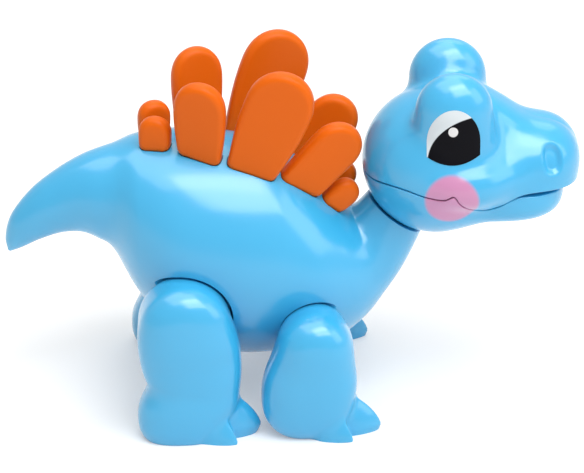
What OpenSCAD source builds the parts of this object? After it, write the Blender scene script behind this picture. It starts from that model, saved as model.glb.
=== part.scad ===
// Toy stegosaurus: two moulded body shells, a two-part head that turns on a slanted neck,
// ten plugged back plates and four legs that swing on stub axles.
// Millimetres. +X is the snout, +Y the toy's left, +Z up. The soles stand on z = 0.

/* [Trunk] */
// Lengthwise place of the deepest trunk section
trunk_x = -18; // [-19:0.5:-17]
// Height of the trunk's centre above the floor
trunk_z = 46.4; // [45.4:0.2:47.4]
// Half height of the trunk
trunk_half_height = 32.6; // [31.6:0.2:33.6]
// Half width of the trunk
trunk_half_width = 27; // [26:0.25:28]
// Thickness of the moulded walls
wall = 2.4; // [2:0.1:2.8]

/* [Tail] */
// Lengthwise place of the tail's root
tail_root_x = -44; // [-45:0.25:-43]
// Height of the tail root's centre
tail_root_z = 56.2; // [55.2:0.2:57.2]
// Half height of the tail's root
tail_root_radius = 23.2; // [22.4:0.2:24]
// Length of the tail from its root to its tip
tail_length = 36.8; // [34:0.2:39]
// How far the tail's centre line climbs above its root
tail_rise = 6.1; // [5:0.1:7]
// How far the tip droops below the root's centre
tail_drop = 11.2; // [9:0.1:12.5]

/* [Neck] */
// Lengthwise place of the neck rim's centre
neck_x = 29.4; // [28.4:0.2:30.4]
// Height of the neck rim's centre
neck_z = 55; // [54:0.2:56]
// Outer radius of the neck rim
neck_radius = 9.4; // [9:0.1:10]
// Angle of the neck axis above the floor
neck_angle = 54; // [51:0.5:57]
// Radius of the post that the head turns on
post_radius = 4.6; // [4:0.1:5]
// Length of the bearing that holds the post
neck_boss_length = 10.5; // [9:0.25:12]
// Outer radius of the neck cap and ring
neck_cap_radius = 7; // [6:0.1:7.4]

/* [Head] */
// Radius of the skull ball
skull_radius = 21; // [20.5:0.1:21.5]
// Gap between the skull ball and the neck cup
cup_gap = 0.3; // [0.2:0.05:0.5]
// Half length of a brow
brow_half_length = 11; // [10.6:0.1:11.4]
// Half width of a brow
brow_half_width = 7.9; // [7.6:0.1:8.2]
// Height of a brow's dome above its widest place
brow_half_height = 11.3; // [11:0.1:11.6]
// Half the distance between the brows
brow_spread = 12.2; // [12:0.1:12.5]
// Height of a brow's widest place above the skull's centre
brow_rise = 20.2; // [19.8:0.1:20.6]
// Forward offset of a brow from the skull's centre
brow_forward = 4; // [3.5:0.1:4.5]
// Half length of the snout
snout_half_length = 21.8; // [21:0.1:22.6]
// Half width of the snout
snout_half_width = 16; // [15.5:0.1:16.5]
// Half height of the snout
snout_half_height = 13.4; // [13:0.1:13.8]
// Half length of the jaw
jaw_half_length = 19.5; // [19:0.1:20]
// Half width of the jaw
jaw_half_width = 15.8; // [15.3:0.1:16.2]
// Half height of the jaw
jaw_half_height = 9.6; // [9.2:0.1:10]
// Width of the parting line round the head
mouth_gap = 0.3; // [0.2:0.05:0.5]
// How far the lips stand apart at the front
lips_apart = 1.1; // [1:0.1:1.8]
// Half width of an eye insert
eye_half_width = 7.55; // [7.2:0.05:7.8]
// Height of an eye insert's arch above its straight sides
eye_arch = 10.6; // [10:0.1:11.2]
// How far an eye insert stands out of the brow
eye_proud = 0.12; // [0.08:0.02:0.3]

/* [Back plates] */
// Lengthwise places of the five plate pairs, tail to neck
plate_x = [-39, -26.4, -11.8, 1.9, 11]; // [-45:0.1:20]
// Distance of each pair from the midline
plate_spread = [6, 9.2, 11.2, 9.8, 8.8]; // [5:0.1:13]
// Width of each pair at the body
plate_base = [9, 12.4, 14.6, 13.4, 7.8]; // [5:0.1:16]
// Greatest width of each pair
plate_width = [9.4, 15, 19.4, 14.6, 8.4]; // [6:0.1:20]
// Height of each pair above the body
plate_length = [8.9, 23.8, 32.2, 22.6, 8.9]; // [6:0.1:38]
// Share of each pair's height below its widest place
plate_swell = [0.42, 0.6, 0.62, 0.6, 0.45]; // [0.35:0.01:0.7]
// Forward lean of each pair
plate_lean = [1, 2, 21.5, 41.5, 50]; // [-10:0.5:52]
// Outward splay of each pair
plate_splay = [2, 9, 4, 8, 5]; // [0:0.25:10]
// Turn of each pair about the upright
plate_turn = [16, 16, 8, -12, -12]; // [-20:0.5:20]
// Thickness of a plate
plate_thickness = 5; // [4:0.1:6]
// Depth of a plate's root below the body's surface
root_depth = 4; // [3.2:0.1:4.6]
// Clearance all round a plugged root
plug_gap = 0.05; // [0.03:0.01:0.1]

/* [Legs] */
// Lengthwise place of the rear axles
rear_hip_x = -31.8; // [-32.3:0.1:-31.3]
// Height of the rear axles
rear_hip_z = 33.7; // [33.2:0.1:34.2]
// Radius of a rear thigh
rear_thigh = 13.1; // [12.7:0.1:13.5]
// Lengthwise place of the front axles
front_hip_x = 5.2; // [4.7:0.1:5.7]
// Height of the front axles
front_hip_z = 27.9; // [27.4:0.1:28.4]
// Radius of a front thigh
front_thigh = 9.2; // [8.8:0.1:9.6]
// Distance of a leg's flat inner face from the midline
leg_inner_y = 21.2; // [20.8:0.1:21.6]
// Thickness of a leg
leg_thickness = 16.8; // [16:0.1:17.6]
// Radius of a leg's stub axle
axle_radius = 4; // [3.5:0.1:4.4]
// Radial clearance of a turning shaft in its bore
running_gap = 0.05; // [0.03:0.01:0.08]
// Gap between a leg and its seat
seat_gap = 0.3; // [0.2:0.05:0.5]
// Room round a thigh in its seat
seat_room = 0.8; // [0.75:0.05:1]

/* [Inner pieces] */
// Distance from the midline to the inner end of a hip boss
boss_end_y = 10.5; // [9.5:0.1:11.5]
// Thickness of a rubber friction ring
ring_thickness = 1.3; // [1:0.1:1.6]
// Thickness of an end cap
cap_thickness = 2.4; // [2:0.1:2.8]
// Outer radius of the axle caps and rings
cap_radius = 6.2; // [5.8:0.1:6.6]
// Gap between faces that are stacked on a shaft
stack_gap = 0.05; // [0.03:0.01:0.1]
// Room round and behind a cap inside the shells
cap_room = 0.4; // [0.3:0.05:0.6]
// Radius of the pegs that line up the shells
peg_radius = 2; // [1.8:0.1:2.4]
// Length of those pegs
peg_length = 4; // [3.5:0.1:5]

/* [Hidden] */
sides = ["right", "left"];

SKY = [0.31, 0.73, 0.94];
ORANGE = [0.91, 0.44, 0.11];
RUBBER = [0.15, 0.15, 0.16];
NATURAL = [0.92, 0.91, 0.87];
far = 200;
fine = 64;

// Body sections, tail tip to neck rim: x, z, half height, half width, tilt.
// The tail and the chest take their places from their two ends by these shares.
tail_shares = [
  [1, -1, 0.02, 62], [0.957, -0.743, 0.13, 60], [0.866, -0.34, 0.24, 52],
  [0.707, 0.16, 0.335, 38], [0.532, 0.68, 0.425, 22], [0.36, 0.92, 0.54, 8], [0.188, 0.86, 0.67, 0]
];
chest_shares = [
  [0.35, -0.29, 0.22, 0.16, 0.08], [0.6, -0.29, 0.51, 0.48, 0.21],
  [0.77, -0.08, 0.79, 0.78, 0.43], [0.875, 0.3, 0.91, 0.92, 0.7]
];
tail_roundness = 0.88;
root_roundness = 0.86;
rump_share = [0.42, 0.66, 0.79, 0.76];
shoulder = [trunk_x + 13, trunk_z - 1.9, trunk_half_height - 1.6, trunk_half_width - 0.7, 0];
neck_row = [neck_x, neck_z, neck_radius, neck_radius, neck_angle];
root_row = [tail_root_x, tail_root_z, tail_root_radius, tail_root_radius * root_roundness, 0];
trunk_row = [trunk_x, trunk_z, trunk_half_height, trunk_half_width, 0];
rump = [for (k = [0:3]) mix(root_row[k], trunk_row[k], rump_share[k])];
spine = concat(
  [for (t = tail_shares) [
    tail_root_x - tail_length * t[0],
    tail_root_z + t[1] * (t[1] < 0 ? tail_drop : tail_rise),
    tail_root_radius * t[2],
    tail_root_radius * t[2] * tail_roundness,
    t[3]
  ]],
  [root_row, [rump[0], rump[1], rump[2], rump[3], 0], trunk_row, shoulder],
  [for (c = chest_shares) [for (k = [0:4]) mix(shoulder[k], neck_row[k], c[k])]],
  [neck_row]
);
last = len(spine) - 1;
hollow_from = 3.2;
hollow_to = last - 1.6;

// Neck axis and the centre of the skull ball, which sits in a cup in the neck's end
neck_axis = [cos(neck_angle), 0, sin(neck_angle)];
rim_land = 1.7;
cup_radius = skull_radius + cup_gap;
cup_rim = neck_radius - rim_land;
skull = [neck_x, 0, neck_z] + neck_axis * sqrt(cup_radius * cup_radius - cup_rim * cup_rim);

// Head forms, all placed from the skull's centre and scaled with it
head_unit = skull_radius / 21;
brow_at = [brow_forward, brow_spread, brow_rise];
brow_size = [brow_half_length, brow_half_width, brow_half_height];
brow_depth = 40 * head_unit;
brow_flare = 0.12;
brow_tuck = 0.03;
snout_reach = 40.6 * head_unit;
snout_at = [snout_reach - snout_half_length, 0, -1.4 * head_unit];
snout_size = [snout_half_length, snout_half_width, snout_half_height];
snout_power = 2.6;
nose_at = [30.4, 2.2, 1.9] * head_unit;
nose_size = [9, 10.4, 9.6] * head_unit;
bridge_at = [14, 0, 12.5] * head_unit;
bridge_size = [17, 9.5, 7.5] * head_unit;
bridge_slope = 33;
cheek_at = [6.5, 14.6, -0.6] * head_unit;
cheek_size = [13.5, 8.8, 8] * head_unit;
jaw_reach = 36.3 * head_unit;
jaw_at = [jaw_reach - jaw_half_length, 0, -6.9 * head_unit];
jaw_size = [jaw_half_length, jaw_half_width, jaw_half_height];
jaw_power = 2.9;
snout_blend = 5 * head_unit;
bridge_blend = 4 * head_unit;
jaw_blend = 3.4 * head_unit;
nose_blend = 3 * head_unit;
brow_blend = 2.6 * head_unit;
cheek_blend = 1.6 * head_unit;
head_reach = 60 * head_unit;
head_wall = wall + 0.6;
// Mouth line from the back of the head to the lips, measured from the skull's centre
mouth = [[-28, -2], [-20, -1.6], [-14.6, -0.8], [-9.8, -1.1], [-4.8, -2.4], [0.4, -2.8], [3.4, -1.4],
         [5.4, -4.2], [8.6, -7], [13, -8.6], [16.8, -8], [20.9, -5.8], [24.1, -4.8], [29.8, -4.4],
         [36.3, -4.6], [46, -5]] * head_unit;
mouth_steps = 2;
gape_from = 20 * head_unit;
gape_length = 8 * head_unit;
// Eye insert: middle, lower corners, foot of the arch, sag of the lower edge, depth and room behind it
eye_x = 3.5 * head_unit;
eye_corner = 9.4 * head_unit;
eye_shoulder = 13.3 * head_unit;
eye_sag = 2.3 * head_unit;
eye_depth = 3;
eye_room = 0.2;
eye_start = 6 * head_unit;
nostril_aim = [31.2, 13, 5];
nostril_radius = 3.1 * head_unit;
nostril_length = 3.8 * head_unit;
nostril_depth = 1.1 * head_unit;
head_pegs = [[-5, 12], [-5, -12], [20, 0]] * head_unit;
head_post = 7;

// Legs: lobes from the hip as x, z, half length, half height, sideways swell, power and inner power
leg_mid = leg_thickness / 2;
lobes = [
  [[0, 0, rear_thigh, rear_thigh, 0.6, 2, 8], [1.5, -8.7, rear_thigh + 1.2, 11.6, 0.2, 2.3, 2.5],
   [2.9, -19.2, rear_thigh - 0.6, 12, 0, 2.3, 2.5], [-1.4, -27.4, rear_thigh - 0.9, 9.8, 0.2, 2.4, 2.5]],
  [[0, 0, front_thigh, front_thigh, 0.6, 2, 8], [-0.6, -6.4, front_thigh + 2.1, 13.4, 0.2, 2.2, 2.5],
   [-2.3, -16.3, front_thigh + 4, 13.2, 0.2, 2.3, 2.5]]
];
lobe_blend = [3, 4];
outer_power = 2.5;
// Claws as x, y from the leg's middle, height above the sole, half sizes and turn
claws = [
  [[13, 0, 3, 8.6, 4.4, 9.2, 0], [7.3, 3.4, 0.6, 8.2, 4, 9, 30], [7.3, -3.4, 0.6, 8.2, 4, 9, -30]],
  [[9.2, 0, 1.8, 9.6, 4.4, 9.4, 0], [3.1, 3.4, 0.6, 8.2, 4, 9, 30], [3.1, -3.4, 0.6, 8.2, 4, 9, -30]]
];
claw_power = 1.42;
hip_boss = 8.4;
body_pegs = [[-44, 56], [-14.5, 23], [-10, 64]];
post_column = 4.2;
cap_well = ring_thickness + cap_thickness + 4;
hip_well = boss_end_y - ring_thickness - cap_thickness - 2 * stack_gap - cap_room;

function mix(a, b, t) = a + (b - a) * t;
function unit(v) = v / norm(v);

// Smooth curve through a list of rows
function curve(p0, p1, p2, p3, t) =
  (2 * p1 + (p2 - p0) * t + (2 * p0 - 5 * p1 + 4 * p2 - p3) * t * t
  + (3 * p1 - p0 - 3 * p2 + p3) * t * t * t) / 2;
function along(rows, s) =
  let (n = len(rows) - 1, i = min(max(floor(s), 0), n - 1))
  curve(rows[max(i - 1, 0)], rows[i], rows[i + 1], rows[min(i + 2, n)], s - i);

// Point on the body at station s and angle a from the back, inset by the given wall
function skin(s, a, inset = 0) =
  let (r = along(spine, s), h = r[2] - inset, w = r[3] - inset)
  [r[0] - sin(r[4]) * h * cos(a), w * sin(a), r[1] + cos(r[4]) * h * cos(a)];

// Station at which the back, at angle a, has the given x
function station(x, a, lo, hi, n = 24) =
  let (m = (lo + hi) / 2)
  n == 0 ? m : skin(m, a).x < x ? station(x, a, m, hi, n - 1) : station(x, a, lo, m, n - 1);

// Soft-box distance and smooth union
function soft_box(p, size, power) =
  (pow(pow(abs(p.x) / size.x, power) + pow(abs(p.y) / size.y, power)
  + pow(abs(p.z) / size.z, power), 1 / power) - 1) * min(size);
function join(a, b, k) =
  let (h = max(k - abs(a - b), 0) / k)
  min(a, b) - h * h * k / 4;

// Distance along a ray from an inner point to a form's surface
function reach(form, from, dir, lo, hi, n = 15) =
  let (m = (lo + hi) / 2)
  n == 0 ? m : form(from + dir * m) < 0
    ? reach(form, from, dir, m, hi, n - 1) : reach(form, from, dir, lo, m, n - 1);

// Skull with a round cheek on each side
cheeks = function (p)
  join(norm(p) - skull_radius, soft_box([p.x, abs(p.y), p.z] - cheek_at, cheek_size, 2), cheek_blend);

// Upper head about the skull's centre, the same on both sides: skull, cheeks, snout, nose, bridge, brows
head_top = function (p)
  let (
    q = [p.x, abs(p.y), p.z],
    d = q - bridge_at,
    ramp = [
      d.x * cos(bridge_slope) - d.z * sin(bridge_slope),
      d.y,
      d.x * sin(bridge_slope) + d.z * cos(bridge_slope)
    ],
    b = q - brow_at,
    low = max(-b.z, 0),
    pod = [
      b.x / (brow_size.x + brow_flare * low),
      (b.y + brow_tuck * low) / brow_size.y,
      b.z / (low > 0 ? brow_depth : brow_size.z)
    ],
    face = join(cheeks(q), soft_box(q - snout_at, snout_size, snout_power), snout_blend),
    nosed = join(face, soft_box(q - nose_at, nose_size, 2), nose_blend),
    ridged = join(nosed, soft_box(ramp, bridge_size, snout_power), bridge_blend)
  )
  join(ridged, (norm(pod) - 1) * min(brow_size), brow_blend);

// Lower head: skull, cheeks and jaw
head_base = function (p)
  join(cheeks(p), soft_box(p - jaw_at, jaw_size, jaw_power), jaw_blend);

// What is hollowed out of the upper head: skull and snout alone
head_core = function (p)
  join(norm(p) - skull_radius, soft_box(p - snout_at, snout_size, snout_power), snout_blend);

// Lobe outlined in x and z, and pillowed over its outer and inner sides by a power each
function lobe(p, size, power, inner_power) =
  let (
    flat = pow(pow(abs(p.x) / size.x, power) + pow(abs(p.z) / size.z, power), 1 / power),
    bend = p.y > 0 ? outer_power : inner_power
  )
  (pow(pow(flat, bend) + pow(abs(p.y) / size.y, bend), 1 / bend) - 1) * min(size);

// Leg form about the hip's axle at the leg's inner face; k is 0 for a rear leg, 1 for a front one
leg_form = function (k) function (p)
  let (parts = [for (l = lobes[k]) lobe(p - [l[0], leg_mid, l[1]], [l[2], leg_mid + l[4], l[3]], l[5], l[6])])
  joined(parts, lobe_blend[k], len(parts) - 1);
function joined(parts, k, n) =
  n == 0 ? parts[0] : join(joined(parts, k, n - 1), parts[n], k);
function hip_x(k) = k == 0 ? rear_hip_x : front_hip_x;
function hip_z(k) = k == 0 ? rear_hip_z : front_hip_z;

// Triangles over a grid of points, whose index is at(row, column)
function quilt(rows, columns, at) =
  [for (i = [0:rows - 1]) for (j = [0:columns - 1])
    for (half = [[at(i, j), at(i, j + 1), at(i + 1, j)], [at(i, j + 1), at(i + 1, j + 1), at(i + 1, j)]])
      half];

// Closed skin of a form, seen as rays from an inner point; the poles lie on Z
module ray_skin(form, from, rows, columns, reach_max, inset = 0) {
  dirs = [for (i = [1:rows - 1]) for (j = [0:columns - 1])
    let (e = 90 - 180 * i / rows, a = 360 * (j + 0.5) / columns)
    [cos(e) * cos(a), cos(e) * sin(a), sin(e)]];
  all = concat([[0, 0, 1]], dirs, [[0, 0, -1]]);
  points = [for (d = all) from + d * (reach(form, from, d, 0, reach_max) - inset)];
  end = len(all) - 1;
  at = function (i, j) 1 + i * columns + (j % columns);
  faces = concat(
    [for (j = [0:columns - 1]) [0, at(0, j + 1), at(0, j)]],
    quilt(rows - 2, columns, at),
    [for (j = [0:columns - 1]) [end, at(rows - 2, j), at(rows - 2, j + 1)]]
  );
  polyhedron(points, faces);
}

// Half of the body's outside, on the left of the midline
module half_body(steps = 2, columns = 12) {
  rows = last * steps;
  points = [for (i = [0:rows]) for (j = [0:columns]) skin(i / steps, 180 * j / columns)];
  at = function (i, j) i * (columns + 1) + j;
  seam = function (i, j) at(i, j == 0 ? columns : 0);
  faces = concat(
    quilt(rows, columns, at),
    quilt(rows, 1, seam),
    [[for (j = [columns:-1:0]) at(0, j)]],
    [[for (j = [0:columns]) at(rows, j)]]
  );
  polyhedron(points, faces);
}

// Hollow inside of the whole body
module hollow(rows = 15, columns = 16) {
  points = [for (i = [0:rows]) for (j = [0:columns - 1])
    skin(mix(hollow_from, hollow_to, i / rows), 360 * (j + 0.5) / columns, wall)];
  at = function (i, j) i * columns + (j % columns);
  faces = concat(
    quilt(rows, columns, at),
    [[for (j = [columns - 1:-1:0]) at(0, j)]],
    [[for (j = [0:columns - 1]) at(rows, j)]]
  );
  polyhedron(points, faces);
}

// Round bar along Y from y0 to y1
module bar_y(x, z, r, y0, y1) {
  translate([x, y0, z])
    rotate([-90, 0, 0])
      cylinder(r = r, h = y1 - y0, $fn = fine);
}

// Round bar along the neck axis, measured outwards from the rim's plane
module bar_neck(r, from, to) {
  translate([neck_x, 0, neck_z])
    rotate([0, 90 - neck_angle, 0])
      translate([0, 0, from])
        cylinder(r = r, h = to - from, $fn = fine);
}

// Places a shape on a hip axle, at the leg's inner face; k is 0 for rear, 1 for front
module at_hip(k) {
  translate([hip_x(k), leg_inner_y, hip_z(k)])
    children();
}

// Seat in the body, turned to the shape of a thigh
function seat_radius(k) = lobes[k][0][2] + seat_room;
module seat(k) {
  deep = leg_mid + lobes[k][0][4] + seat_room;
  power = lobes[k][0][6];
  depths = concat([-seat_gap], [for (t = [0, 0.06, 0.16, 0.4, 1]) t * leg_mid]);
  rim = [for (h = depths)
    [seat_radius(k) * pow(1 - pow((leg_mid - h) / deep, power), 1 / power), h]];
  at_hip(k)
    rotate([-90, 0, 0])
      rotate_extrude($fn = fine)
        polygon(concat([[0, -seat_gap]], rim, [[seat_radius(k), far], [0, far]]));
}

// Left half shell, before the pegs that differ between the sides
module left_shell() {
  difference() {
    union() {
      difference() {
        half_body();
        difference() {
          hollow();
          for (k = [0, 1])
            bar_y(hip_x(k), hip_z(k), seat_radius(k) + wall, leg_inner_y - seat_gap - wall, far);
          for (peg = body_pegs)
            bar_y(peg.x, peg.y, post_column, -far, far);
          bar_neck(neck_radius - rim_land + 0.4, -neck_boss_length, far);
        }
      }
      for (k = [0, 1])
        bar_y(hip_x(k), hip_z(k), hip_boss, boss_end_y, leg_inner_y - seat_gap);
    }
    for (k = [0, 1]) {
      seat(k);
      bar_y(hip_x(k), hip_z(k), axle_radius + running_gap, 0, far);
      bar_y(hip_x(k), hip_z(k), cap_radius + cap_room, hip_well, boss_end_y);
    }
    bar_neck(post_radius + running_gap, -neck_boss_length - wall, far);
    bar_neck(neck_cap_radius + cap_room, -neck_boss_length - cap_well, -neck_boss_length);
    translate(skull)
      sphere(r = cup_radius, $fn = fine);
    for (i = [0:4])
      plate(i, plug_gap);
  }
}

module body_left() {
  color(SKY)
    difference() {
      left_shell();
      for (peg = body_pegs)
        bar_y(peg.x, peg.y, peg_radius + plug_gap, -1, peg_length + plug_gap);
    }
}

module body_right() {
  color(SKY)
    union() {
      mirror([0, 1, 0])
        left_shell();
      for (peg = body_pegs)
        bar_y(peg.x, peg.y, peg_radius, -peg_length, peg_length);
    }
}

// Half width of a plate's leaf at height v, from the root to the rounded tip
function leaf(i, v) =
  let (swell = plate_swell[i], t = v / plate_length[i])
  t < swell
    ? mix(plate_base[i], plate_width[i], sin(90 * max(t, 0) / swell)) / 2
    : plate_width[i] / 2 * sqrt(max(1 - pow((t - swell) / (1 - swell), 2.4), 0));

// Left plate i: a leaf outline, pillowed over its thickness, with a root in the body; grow widens it
module plate(i, grow = 0) {
  angle = asin(plate_spread[i] / trunk_half_width) * 1.02;
  base = skin(station(plate_x[i], angle, 4, last), angle);
  rise = [for (t = [0.02, 0.28, 0.56, 0.75, 0.9, 0.98]) t * plate_length[i]];
  heights = concat([-root_depth - grow], rise);
  edge = concat(
    [for (v = heights) [leaf(i, v) + grow, v]],
    [[0, plate_length[i] + grow]],
    [for (k = [len(heights) - 1:-1:0]) [-leaf(i, heights[k]) - grow, heights[k]]]
  );
  half = plate_thickness / 2;
  pillow = [[-1, 2], [-0.7, 0.7], [0, 0], [0.7, 0.7], [1, 2]];
  middle = [0, plate_length[i] * 0.45];
  count = len(edge);
  points = [for (ring = pillow) for (p = edge)
    let (away = p - middle, q = middle + away * (1 - ring[1] / max(norm(away), 1)))
    [q.x, ring[0] * (half + grow), p.y < 0 ? p.y : q.y]];
  at = function (r, j) r * count + (j % count);
  top = len(pillow) - 1;
  front = function (j, s) s == 0 ? j : count - 1 - j;
  back = function (j, s) at(top, s == 0 ? count - 1 - j : j);
  tip = len(heights);
  faces = concat(
    quilt(top, count, at),
    quilt(tip - 1, 1, front),
    quilt(tip - 1, 1, back),
    [[tip, tip - 1, tip + 1], [at(top, tip - 1), at(top, tip), at(top, tip + 1)]]
  );
  translate(base)
    rotate([-plate_splay[i], plate_lean[i], plate_turn[i]])
      polyhedron(points, faces);
}

// Region above the mouth line, as an outline in x and z run across the head
module above_mouth(drop, gape) {
  steps = (len(mouth) - 1) * mouth_steps;
  line = [for (i = [0:steps])
    let (p = along(mouth, i / mouth_steps), t = min(max((p.x - gape_from) / gape_length, 0), 1))
    p - [0, drop + gape * t]];
  rotate([90, 0, 0])
    linear_extrude(height = 2 * far, center = true)
      polygon(concat(line, [[line[steps].x, far], [line[0].x, far]]));
}

// Inside of one half of the head, round its peg columns and its neck socket
module head_hollow(form) {
  difference() {
    ray_skin(form, [0, 0, 0], 12, 18, head_reach, head_wall);
    for (peg = head_pegs)
      translate([peg.x, peg.y, -far])
        cylinder(r = post_column, h = 2 * far, $fn = fine);
    translate(-skull)
      bar_neck(post_radius + wall, -far, head_post + wall);
  }
}

// Shallow upright well of a nostril on the left of the nose
module nostril() {
  aim = unit(nostril_aim);
  out = aim * (reach(head_top, [0, 0, 0], aim, 0, head_reach) + nostril_radius - nostril_depth);
  for (t = [-0.5, 0, 0.5])
    translate(out + [-0.25, -0.1, 1] * nostril_length * t)
      sphere(r = nostril_radius, $fn = 32);
}

// Left eye: an arched block laid in the side of the brow, from depth below its surface to proud above it
module eye_block(grow, proud, depth, rows = 6, columns = 10) {
  front = [for (i = [0:rows]) for (j = [0:columns])
    let (
      u = sin(180 * j / columns - 90),
      bow = 1 - u * u,
      low = eye_corner - eye_sag * bow - grow,
      high = eye_shoulder + eye_arch * sqrt(max(bow, 0)) + grow,
      x = eye_x + (eye_half_width + grow) * u,
      z = mix(low, high, i / rows)
    )
    [x, eye_start + reach(head_top, [x, eye_start, z], [0, 1, 0], 0, head_reach), z]];
  count = len(front);
  at = function (i, j) i * (columns + 1) + j;
  back = function (i, j) count + at(i, j);
  points = concat([for (p = front) p + [0, proud, 0]], [for (p = front) p - [0, depth, 0]]);
  faces = concat(
    quilt(rows, columns, at),
    quilt(rows, columns, function (i, j) back(i, columns - j)),
    quilt(1, columns, function (i, j) i == 0 ? back(0, j) : at(0, j)),
    quilt(1, columns, function (i, j) i == 0 ? at(rows, j) : back(rows, j)),
    quilt(rows, 1, function (i, j) j == 0 ? back(i, 0) : at(i, 0)),
    quilt(rows, 1, function (i, j) j == 0 ? at(i, columns) : back(i, columns))
  );
  polyhedron(points, faces);
}

module head_upper() {
  color(SKY)
    translate(skull)
      difference() {
        intersection() {
          ray_skin(head_top, [0, 0, 0], 24, 36, head_reach);
          above_mouth(0, 0);
        }
        head_hollow(head_core);
        for (side = [0, 1])
          mirror([0, side, 0]) {
            eye_block(plug_gap, head_reach / 4, eye_depth + eye_room);
            nostril();
          }
        for (peg = head_pegs)
          translate([peg.x, peg.y, -far])
            cylinder(r = peg_radius + plug_gap, h = far + peg_length, $fn = fine);
      }
}

module head_lower() {
  color(SKY)
    translate(skull)
      difference() {
        union() {
          difference() {
            ray_skin(head_base, [0, 0, 0], 22, 32, head_reach);
            above_mouth(mouth_gap, lips_apart);
            head_hollow(head_base);
          }
          for (peg = head_pegs)
            translate([peg.x, peg.y, -3 * peg_length])
              cylinder(r = peg_radius, h = 3.5 * peg_length, $fn = fine);
        }
        translate(-skull)
          bar_neck(post_radius, -far, head_post);
      }
}

module eye() {
  translate(skull)
    eye_block(0, eye_proud, eye_depth);
}

// Pointed claw about its own middle
module claw(size) {
  ray_skin(function (p) soft_box(p, size, claw_power), [0, 0, 0], 8, 12, max(size) + 1);
}

// Left leg with its stub axle; k is 0 for rear, 1 for front
module leg(k) {
  at_hip(k)
    union() {
      intersection() {
        union() {
          ray_skin(leg_form(k), [0, leg_mid, -hip_z(k) * 0.48], 18, 24, 50);
          for (c = claws[k])
            translate([c[0], leg_mid + c[1], c[2] - hip_z(k)])
              rotate([0, 0, c[6]])
                claw([c[3], c[4], c[5]]);
        }
        translate([-far / 2, 0, -hip_z(k)])
          cube([far, far, far]);
      }
      bar_y(0, 0, axle_radius, boss_end_y - ring_thickness - cap_thickness - 2 * stack_gap - leg_inner_y, 3);
    }
}

module friction_ring(k) {
  top = boss_end_y - stack_gap;
  difference() {
    bar_y(hip_x(k), hip_z(k), cap_radius, top - ring_thickness, top);
    bar_y(hip_x(k), hip_z(k), axle_radius, 0, far);
  }
}

module axle_cap(k) {
  top = boss_end_y - ring_thickness - 2 * stack_gap;
  difference() {
    bar_y(hip_x(k), hip_z(k), cap_radius, top - cap_thickness, top);
    bar_y(hip_x(k), hip_z(k), axle_radius, 0, far);
  }
}

module neck_post() {
  color(NATURAL)
    bar_neck(post_radius, -neck_boss_length - ring_thickness - cap_thickness - 2 * stack_gap, head_post);
}

module neck_ring() {
  top = -neck_boss_length - stack_gap;
  color(RUBBER)
    difference() {
      bar_neck(neck_cap_radius, top - ring_thickness, top);
      bar_neck(post_radius, -far, far);
    }
}

module neck_cap() {
  top = -neck_boss_length - ring_thickness - 2 * stack_gap;
  color(NATURAL)
    difference() {
      bar_neck(neck_cap_radius, top - cap_thickness, top);
      bar_neck(post_radius, -far, far);
    }
}

// Mirrors a left piece to the named side
module on_side(side) {
  mirror([0, side == "right" ? 1 : 0, 0])
    children();
}

body_right();
body_left();
head_upper();
head_lower();
for (side = sides) {
  color("white") on_side(side) eye();
  for (i = [1:5])
    color(ORANGE) on_side(side) plate(i - 1);
  for (k = [0, 1]) {
    place = str(k == 0 ? "rear_" : "front_", side);
    color(SKY) on_side(side) leg(k);
    color(RUBBER) on_side(side) friction_ring(k);
    color(NATURAL) on_side(side) axle_cap(k);
  }
}
neck_post();
neck_ring();
neck_cap();
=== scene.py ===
"""Looks of the toy stegosaurus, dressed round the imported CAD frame.

Sizes are millimetres in the CAD frame: +X is the snout, +Y the toy's left, +Z up.
Meshes are written in metres.
"""

import logging
import math
from dataclasses import dataclass, field, replace
from enum import Enum
from typing import Callable

import bpy
import numpy as np
from mathutils import Matrix, Vector
from mathutils.bvhtree import BVHTree


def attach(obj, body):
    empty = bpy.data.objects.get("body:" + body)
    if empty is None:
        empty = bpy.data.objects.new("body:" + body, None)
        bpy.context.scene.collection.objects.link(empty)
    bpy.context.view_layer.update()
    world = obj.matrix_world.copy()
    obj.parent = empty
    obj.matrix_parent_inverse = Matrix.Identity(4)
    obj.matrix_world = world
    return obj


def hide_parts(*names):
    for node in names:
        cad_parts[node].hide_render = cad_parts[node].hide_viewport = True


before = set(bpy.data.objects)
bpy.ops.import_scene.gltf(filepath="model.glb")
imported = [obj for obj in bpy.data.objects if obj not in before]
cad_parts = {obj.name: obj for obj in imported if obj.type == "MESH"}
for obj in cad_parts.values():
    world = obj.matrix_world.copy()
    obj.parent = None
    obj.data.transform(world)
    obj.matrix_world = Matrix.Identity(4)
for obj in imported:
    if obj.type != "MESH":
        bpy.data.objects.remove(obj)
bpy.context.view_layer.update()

LOG = logging.getLogger("stegosaurus")
MM = 0.001  # metres
IMAGE_SIZE = (584, 473)  # the photo's pixels
WELD = 2e-6  # metres: points closer than this become one
CUT_WELD = 1e-7  # metres: points this close to a cut lie on it
SMOOTH_ANGLE = math.radians(38)  # sharper edges stay crisp
Form = Callable[[np.ndarray], np.ndarray]  # rough signed distance of points, in millimetres
Colour = tuple[float, float, float, float]
Point = tuple[float, float, float]


class Side(Enum):
    """Which side of the midline a piece is on, as the sign of its Y."""

    RIGHT = -1
    LEFT = 1

    @property
    def word(self) -> str:
        """The side as it is written in node names."""
        return self.name.lower()


class End(Enum):
    """Which pair of legs a leg belongs to."""

    REAR = "rear"
    FRONT = "front"


class Slot(Enum):
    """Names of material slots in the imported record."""

    SKY = "sky_shell"
    ORANGE = "plate_orange"
    EYE = "eye_gloss"


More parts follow.
